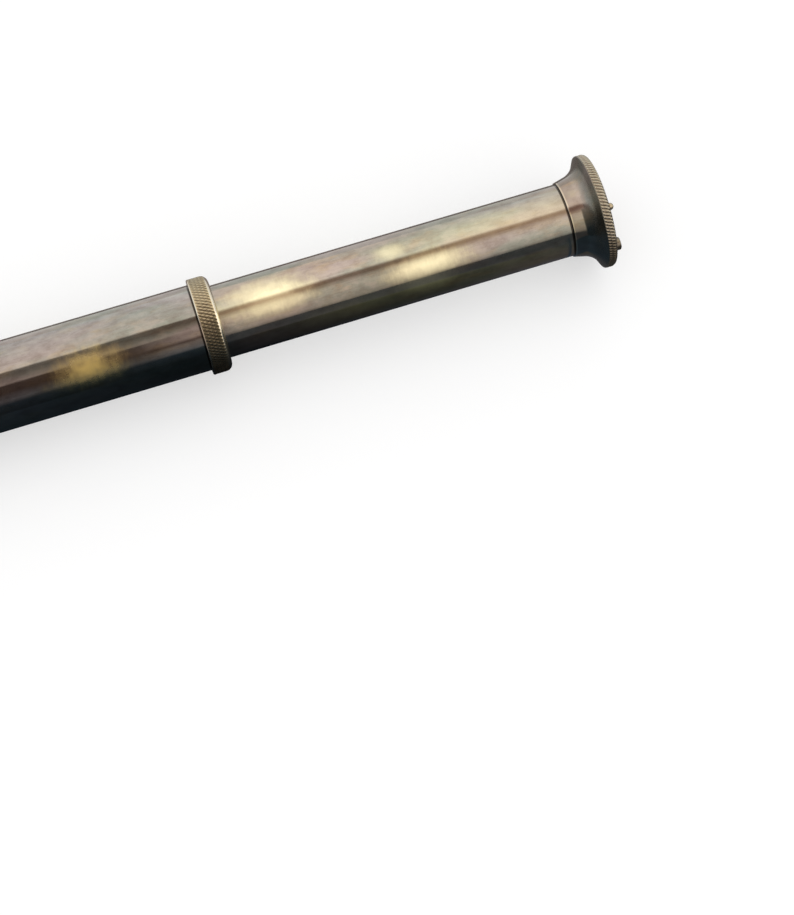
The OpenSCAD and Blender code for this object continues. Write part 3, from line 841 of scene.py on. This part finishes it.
SLOT_WIDE, SLOT_DEEP = 0.55, 0.75
saw(screw, (head_far, 0.0, 0.0), (2 * SLOT_DEEP, 6.0, SLOT_WIDE))
for vertex in screw.data.vertices:
    vertex.co += Vector((0, PIVOT_Y, PIVOT_Z)) * MM
print("pivot at", round(PIVOT_Y, 2), round(PIVOT_Z, 2), "with", len(screw.data.polygons), "faces")
fit(screw, "bright_brass", "shutter_pivot_screw", finishes=[screw_finish])

# %% [markdown]
# ## The objective end
#
# The cell that holds the objective has a nose for the cap and a knurled flange to unscrew it by. It
# could be two pieces, but the real one is turned from one bar, so one outline runs over both.

# %% Spin the objective cell
cell_face, cell_far = reach("objective_cell")
FLANGE = outside("objective_cell")
FLANGE_NEAR, FLANGE_FAR, FLANGE_ROLL = cell_face + 10.0, cell_face + 14.0, 0.4
NOSE, LENS_SEAT, LIP, SPIGOT_OUT = 17.5, 15.02, 13.8, 16.18
flange_from, flange_to = FLANGE_NEAR + FLANGE_ROLL, FLANGE_FAR - FLANGE_ROLL
flange_rows = round((flange_to - flange_from) / (KNURL_ALONG / STEPS_PER_DIAMOND))
cell_outline = (
    [(cell_face, LENS_SEAT + 0.2), (cell_face, NOSE - 0.3), (cell_face + 0.3, NOSE), (FLANGE_NEAR, NOSE)]
    + arc((flange_from, FLANGE - FLANGE_ROLL), FLANGE_ROLL, 175, 90, 6)
    + steps_between((flange_from, FLANGE), (flange_to, FLANGE), flange_rows)
    + arc((flange_to, FLANGE - FLANGE_ROLL), FLANGE_ROLL, 90, 0, 6)
    + [(FLANGE_FAR, SPIGOT_OUT), (cell_far, SPIGOT_OUT), (cell_far, LIP), (FLANGE_FAR, LIP),
       (FLANGE_FAR, LENS_SEAT), (cell_face + 0.2, LENS_SEAT)])
flange_diamonds = diamonds_round(FLANGE)
flange_knurl = knurl(flange_diamonds, FLANGE_NEAR + 0.5, FLANGE_FAR - 0.5, KNURL_DEPTH)
fit(spin("objective_cell_turned", cell_outline, flange_diamonds * STEPS_PER_DIAMOND,
         lambda place, turn, radius: masked(flange_knurl, place, turn, radius, FLANGE - 0.05)),
    "knurled_brass", "objective_cell")

# %% [markdown]
# The cap is a shallow drawn cup with a rounded end, a bead of metal near its mouth and three turned
# lines on its end. The lines are real grooves in the outline, so they catch the light from any side.

# %% Spin the objective cap
CAP, CAP_BORE, CAP_THICK, CAP_ROUND = outside("objective_cap"), 17.55, 1.2, 1.0
LINES, LINE_DEEP = (5.0, 9.5, 14.0), 0.12
turned_lines = [(cap_end + dip, line + step) for line in LINES
                for dip, step in ((0.0, -0.35), (LINE_DEEP, -0.15), (LINE_DEEP, 0.15), (0.0, 0.35))]
fit(spin("objective_cap_turned",
         [(cap_end, 0.0)] + turned_lines
         + arc((cap_end + CAP_ROUND, CAP - CAP_ROUND), CAP_ROUND, 180, 90, 12)
         + [(cap_mouth - 1.6, CAP), (cap_mouth - 1.45, CAP - 0.16), (cap_mouth - 1.3, CAP)]
         + arc((cap_mouth - 0.25, CAP - 0.25), 0.25, 90, 0, 5)
         + [(cap_mouth, CAP_BORE + BORE_BREAK), (cap_mouth - BORE_BREAK, CAP_BORE),
            (cap_end + CAP_THICK, CAP_BORE), (cap_end + CAP_THICK, 0.0)]),
    "patina_brass", "objective_cap")

# %% [markdown]
# ## The rest of the model
#
# The nodes that aren't replaced yet keep their shape and get the finish that the record names. Most of
# them are inside. The eye plate shows, and its patina also has the rings that a lathe leaves on a face.

# %% Dress the other nodes
slot_of_node = {part["node"]: part["material_slot"] for part in frame["record"]["subparts"]}
for node, thing in frame["nodes"].items():
    if not thing.hide_render:
        finish = turned_patina if node == "eye_plate" else FINISH_OF_SLOT[slot_of_node[node]]
        if not thing.material_slots:
            thing.data.materials.append(finish)
        for slot in thing.material_slots:
            slot.material = finish
print("nodes kept as they are", sum(not thing.hide_render for thing in frame["nodes"].values()))

# %% [markdown]
# ## Floor and sky
#
# The telescope lies on a plain pale floor under an even white sky, which gives soft shadows from all
# sides. The floor also glows a little, so that it stays near white in the picture.

# %% Floor and sky
FLOOR = cad_box[0].z / MM - 0.02
FLOOR_HALF = 4000
FLOOR_COLOUR, FLOOR_GLOW = (0.60, 0.60, 0.60), 0.44
scene = bpy.context.scene
scene.world = bpy.data.worlds.new("sky")
scene.world.use_nodes = True
sky = scene.world.node_tree.nodes["Background"].inputs
sky["Color"].default_value, sky["Strength"].default_value = (1.0, 1.0, 1.0, 1.0), 1.0


def hang(name, corners, faces, finish):
    """A flat or bent sheet of the stage, from corners in millimetres."""
    mesh = bpy.data.meshes.new(name)
    mesh.from_pydata([Vector(c) * MM for c in corners], [], faces)
    mesh.materials.append(finish.material)
    hung = bpy.data.objects.new(name, mesh)
    scene.collection.objects.link(hung)
    return hung


paper = Finish("floor")
paper.surface(Base_Color=FLOOR_COLOUR, Roughness=0.9, Specular_IOR_Level=0.1,
              Emission_Color=(1.0, 1.0, 1.0), Emission_Strength=FLOOR_GLOW)
hang("floor", [(FLOOR_HALF * x, FLOOR_HALF * y, FLOOR) for x, y in ((-1, -1), (1, -1), (1, 1), (-1, 1))],
     [(0, 1, 2, 3)], paper)
print("floor at", round(FLOOR, 2), "mm")

# %% [markdown]
# ## Light for metal
#
# Polished metal shows what stands round it, and lamps alone would leave it black with a few hot lines.
# So a tent of cards goes round the telescope, the way a photographer lights silver. The cards are seen
# in reflections only. Each is planned as a few bands, with a level, which is how bright a tube looks
# there, and one of nine tints. A tube takes away some of the light, so `seen` divides by its mean colour.

# %% Light by level and tint
PATINA_MEAN = (0.290, 0.262, 0.225)
COLD = (0.72, 0.90, 1.00)
GREY = (1.00, 0.96, 0.94)
MIST = (1.00, 0.99, 0.94)
PEARL = (1.00, 0.92, 0.84)
ROSE = (1.00, 0.89, 0.80)
SAND = (1.00, 0.92, 0.80)
HONEY = (1.00, 0.84, 0.68)
BROWN = (1.00, 0.80, 0.68)
OLIVE = (1.00, 0.97, 0.78)


def seen(level, tint):
    """Light of a card that a patinated tube shows at this level, 0 to 1, and in this tint."""
    screen = [level * share for share in tint]
    return tuple((c / 12.92 if c <= 0.04045 else ((c + 0.055) / 1.055) ** 2.4) / mean
                 for c, mean in zip(screen, PATINA_MEAN))


print("brightest card gives", [round(c, 2) for c in seen(0.78, SAND)])

# %% Cards that only the metal sees
def glow(finish, colour):
    """Makes a card give colour as light and nothing else."""
    return finish.surface(Base_Color=(0.0, 0.0, 0.0), Roughness=1.0, Specular_IOR_Level=0.0,
                          Emission_Color=colour, Emission_Strength=1.0)


def ramp(finish, place, stops):
    """Colours along a place, from a list of (place, colour)."""
    start, end = stops[0][0], stops[-1][0]
    marks = [((at - start) / (end - start), colour) for at, colour in stops]
    return finish.node("ShaderNodeValToRGB", {"stops": marks}, {0: (place - start) / (end - start)})


def card(name, corners, faces, finish):
    """A card that is left out of everything but reflections."""
    hung = hang(name, corners, faces, finish)
    hung.visible_camera = hung.visible_diffuse = hung.visible_shadow = False
    hung.visible_transmission = hung.visible_volume_scatter = False


# %% A curved card round X, in bands
def curved(name, lower, upper, turns, bands, later=None, change=(0.0, 1.0), steps=40):
    """Sweeps the line between two (x, radius) places round X. bands and later are lists of (angle,
    colour), in degrees from straight up towards +Y; bands holds before change and later after it."""
    angles = np.radians(np.linspace(*turns, steps + 1))
    corners = [(x, r * math.sin(t), r * math.cos(t)) for t in angles for x, r in (lower, upper)]
    finish = Finish(name)
    turn = finish.along("Y").maths("ARCTAN2", finish.along("Z")) * (180 / math.pi)
    colour = ramp(finish, turn, bands)
    if later:
        share = finish.smooth(finish.along(), *change)
        colour = finish.mix(share, colour, ramp(finish, turn, later))
    glow(finish, colour)
    card(name, corners, [(2 * k, 2 * k + 1, 2 * k + 3, 2 * k + 2) for k in range(steps)], finish)


def planned(*bands):
    """Turns (place, level, tint) into the stops of a card."""
    return [(place, seen(level, tint)) for place, level, tint in bands]


# %% [markdown]
# The big tent is pale on the far side and has one narrow brown band overhead, which gives the thin line
# along the tubes. Towards the near side it is warm and grows darker. A dark card before its near edge
# keeps the lower half of the thin tube dark. Past the eye end its bands are a little yellower.

# %% The tent over everything
FAR_LEFT, FAR_RIGHT = -1500.0, 2000.0
TENT, DARK_CARD = 600.0, 560.0
AROUND = (-94, 94)
curved("tent_over_all", (FAR_LEFT, TENT), (FAR_RIGHT, TENT), AROUND, planned(
    (-94, 0.33, ROSE), (-68, 0.38, ROSE), (-60, 0.52, ROSE), (-27, 0.66, ROSE), (-15, 0.63, ROSE),
    (0, 0.43, BROWN), (7, 0.44, BROWN), (15, 0.75, PEARL), (94, 0.68, PEARL)), planned(
    (-94, 0.33, ROSE), (-68, 0.38, PEARL), (-60, 0.57, PEARL), (-36, 0.70, PEARL), (-15, 0.68, PEARL),
    (0, 0.54, HONEY), (7, 0.54, HONEY), (15, 0.78, SAND), (94, 0.63, MIST)), (403.0, 486.0))
curved("dark_room", (190.0, DARK_CARD), (620.0, DARK_CARD), (-95, -67.5), planned(
    (-95, 0.20, GREY), (-67, 0.20, GREY)))
print("tent of radius", TENT, "mm")

# %% [markdown]
# The wider tubes show more and darker lines than the thin one, so closer tents hang over them. Being
# close, they change within a short stretch of tube.

# %% Two closer tents over the wider tubes
NEAR_TENT = 150.0
WIDE_FROM, WIDE_TO = 200.0, 298.0
curved("tent_over_wide_tubes", (WIDE_FROM, NEAR_TENT), (WIDE_TO, NEAR_TENT), AROUND, planned(
    (-94, 0.08, COLD), (-70, 0.12, COLD), (-60, 0.24, GREY), (-40, 0.18, BROWN), (-22, 0.20, BROWN),
    (-20, 0.44, ROSE), (0, 0.33, ROSE), (8.5, 0.34, ROSE), (11, 0.70, PEARL), (94, 0.62, MIST)), planned(
    (-94, 0.06, COLD), (-70, 0.15, COLD), (-65, 0.34, GREY), (-50, 0.42, ROSE), (-44, 0.29, BROWN),
    (-37, 0.51, ROSE), (-18, 0.54, ROSE), (0, 0.34, BROWN), (8.5, 0.34, BROWN), (11, 0.68, PEARL),
    (94, 0.67, MIST)), (260.0, 297.0))
curved("tent_over_barrel", (FAR_LEFT, NEAR_TENT), (WIDE_FROM, NEAR_TENT), AROUND, planned(
    (-94, 0.30, ROSE), (-66, 0.36, ROSE), (-60, 0.52, ROSE), (-36, 0.59, ROSE), (0, 0.33, BROWN),
    (11, 0.34, BROWN), (14, 0.67, MIST), (94, 0.58, MIST)))
print("closer tents from", FAR_LEFT, "to", WIDE_TO, "mm")

# %% [markdown]
# The flare of the bell faces back along the telescope, so it sees neither tent. Two funnels of card
# stand round the tube instead: one at the last ring, and one at the neck for its near side.

# %% Two funnels of card, which only the flare of the bell sees
FUNNELS = (294.0, 399.4)
curved("flag_at_ring", (FUNNELS[0], 15.6), (305.8, 370.0), (-96, -6), planned(
    (-96, 0.11, COLD), (-66, 0.13, COLD), (-40, 0.24, SAND), (-6, 0.41, SAND)), planned(
    (-96, 0.17, GREY), (-70, 0.19, GREY), (-65, 0.42, SAND), (-28, 0.70, SAND), (-14, 0.69, SAND),
    (-6, 0.54, HONEY)), (300.8, 304.2))
curved("flag_at_neck", (FUNNELS[1], 11.8), (408.0, 60.0), (-165, -66), planned(
    (-165, 0.15, COLD), (-66, 0.17, COLD)))
print("funnels from", FUNNELS, "mm")

# %% [markdown]
# The undersides of the tubes mirror what lies beside them. A dark level card with bands along X
# grounds the telescope there.

# %% A dark table round the telescope, seen in the metal only
def level(name, x_from, x_to, near, far, height, colour):
    """A level card from near to far in Y; colour is a function that gets its finish."""
    finish = Finish(name)
    glow(finish, colour(finish))
    card(name, [(x_from, near, height), (x_to, near, height), (x_to, far, height), (x_from, far, height)],
         [(0, 1, 2, 3)], finish)


BESIDE = planned((120, 0.28, ROSE), (205, 0.07, COLD), (310, 0.04, COLD), (372, 0.14, GREY),
                 (392, 0.18, GREY), (470, 0.18, GREY), (560, 0.31, ROSE))
FURTHER = planned((100, 0.31, ROSE), (200, 0.14, COLD), (288, 0.07, COLD), (302, 0.12, GREY),
                  (350, 0.16, OLIVE), (400, 0.235, OLIVE), (425, 0.22, GREY), (520, 0.22, GREY),
                  (620, 0.31, ROSE))
BESIDE_REACH = 14.0
TABLE_NEAR, TABLE_SPLIT, TABLE_FAR = -900, -3, 44


def table_colour(finish):
    """Darkest right beside the tubes; the share of those bands falls as 1 / distance."""
    share = finish.along("Y").maths("ABSOLUTE").maths("POWER", -1.0) * BESIDE_REACH
    return finish.mix(share, ramp(finish, finish.along(), FURTHER), ramp(finish, finish.along(), BESIDE))


level("table_near", FAR_LEFT, FAR_RIGHT, TABLE_NEAR, TABLE_SPLIT, FLOOR + 0.01, table_colour)
level("table_under", FAR_LEFT, FAR_RIGHT, TABLE_SPLIT, TABLE_FAR, FLOOR + 0.01,
      lambda finish: seen(0.31, ROSE))
print("table from", TABLE_NEAR, "to", TABLE_FAR, "mm")

# %% [markdown]
# The polished roll on each ring faces the eye end. Two windows stand there, and the roll mirrors them
# as one bright line.

# %% Two windows past the eye end
WINDOW_X, SILL, LINTEL = 1100, -15, 480


def window(name, y_from, y_to, light):
    """An upright card that faces the eye end."""
    finish = Finish(name)
    glow(finish, light)
    card(name, [(WINDOW_X, y_from, SILL), (WINDOW_X, y_to, SILL), (WINDOW_X, y_to, LINTEL),
                (WINDOW_X, y_from, LINTEL)], [(0, 1, 2, 3)], finish)


window("window", -220, 160, (2.5, 2.4, 2.25))
window("window_far", -900, -220, (1.30, 1.24, 1.12))
print("windows at", WINDOW_X, "mm")
